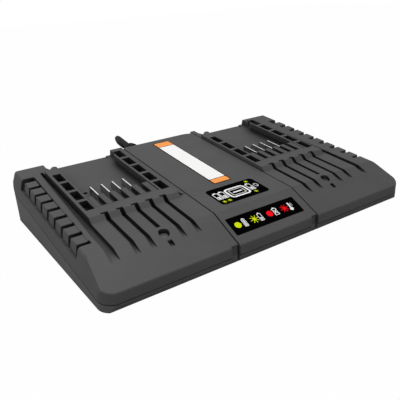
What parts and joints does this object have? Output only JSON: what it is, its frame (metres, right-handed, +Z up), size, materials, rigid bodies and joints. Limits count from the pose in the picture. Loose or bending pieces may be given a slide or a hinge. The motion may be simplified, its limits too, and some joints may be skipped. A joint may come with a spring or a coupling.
{
  "type": "power tool battery charger",
  "caption": "Low, wide battery charger: a centre power unit between slide-in charging bays, tops sloping to the front, with a mains cord put away behind.",
  "frame": {"origin": "middle of the footprint without the cord, on the surface the charger stands on", "axes": "+X to the charger's right seen from its front, +Y from the low front edge to the high back edge, +Z up"},
  "size_m": [0.2639, 0.2546, 0.0434],
  "materials": {
    "housing": "textured satin",
    "holder": "satin",
    "contact": "plated",
    "screw": "dark zinc",
    "foot": "matt",
    "plate": "printed film",
    "label": "printed film",
    "board": "solder mask",
    "component": "satin",
    "winding": "enamelled",
    "heatsink": "satin",
    "lens": "clear",
    "cord": "satin",
    "pin": "plated"
  },
  "bodies": {
    "root": {"bulk_capacitor": "component", "centre_base": "housing", "centre_base_screws": "screw", "centre_cover": "housing", "centre_feet": "foot", "choke": "winding", "coil_tie": "cord", "control_chip": "component", "cord_coil": "cord", "cord_lead": "cord", "display_label": "label", "film_capacitors": "component", "fuse": "component", "heatsink": "heatsink", "left_base": "housing", "left_base_screws": "screw", "left_bay_board": "board", "left_bay_parts": "component", "left_bay_screws": "screw", "left_blade_data": "contact", "left_blade_negative": "contact", "left_blade_positive": "contact", "left_blade_sense": "contact", "left_contact_holder": "holder", "left_cover": "housing", "left_deck_screw": "screw", "left_feet": "foot", "light_board": "board", "light_pipes": "lens", "main_board": "board", "main_board_screws": "screw", "name_plate": "plate", "output_capacitors": "component", "output_sockets": "component", "plug_body": "cord", "plug_pins": "pin", "right_base": "housing", "right_base_screws": "screw", "right_bay_board": "board", "right_bay_parts": "component", "right_bay_screws": "screw", "right_blade_data": "contact", "right_blade_negative": "contact", "right_blade_positive": "contact", "right_blade_sense": "contact", "right_contact_holder": "holder", "right_cover": "housing", "right_deck_screw": "screw", "right_feet": "foot", "status_label": "label", "strain_relief": "cord", "transformer": "component", "transistors": "component"}
  },
  "joints": []
}
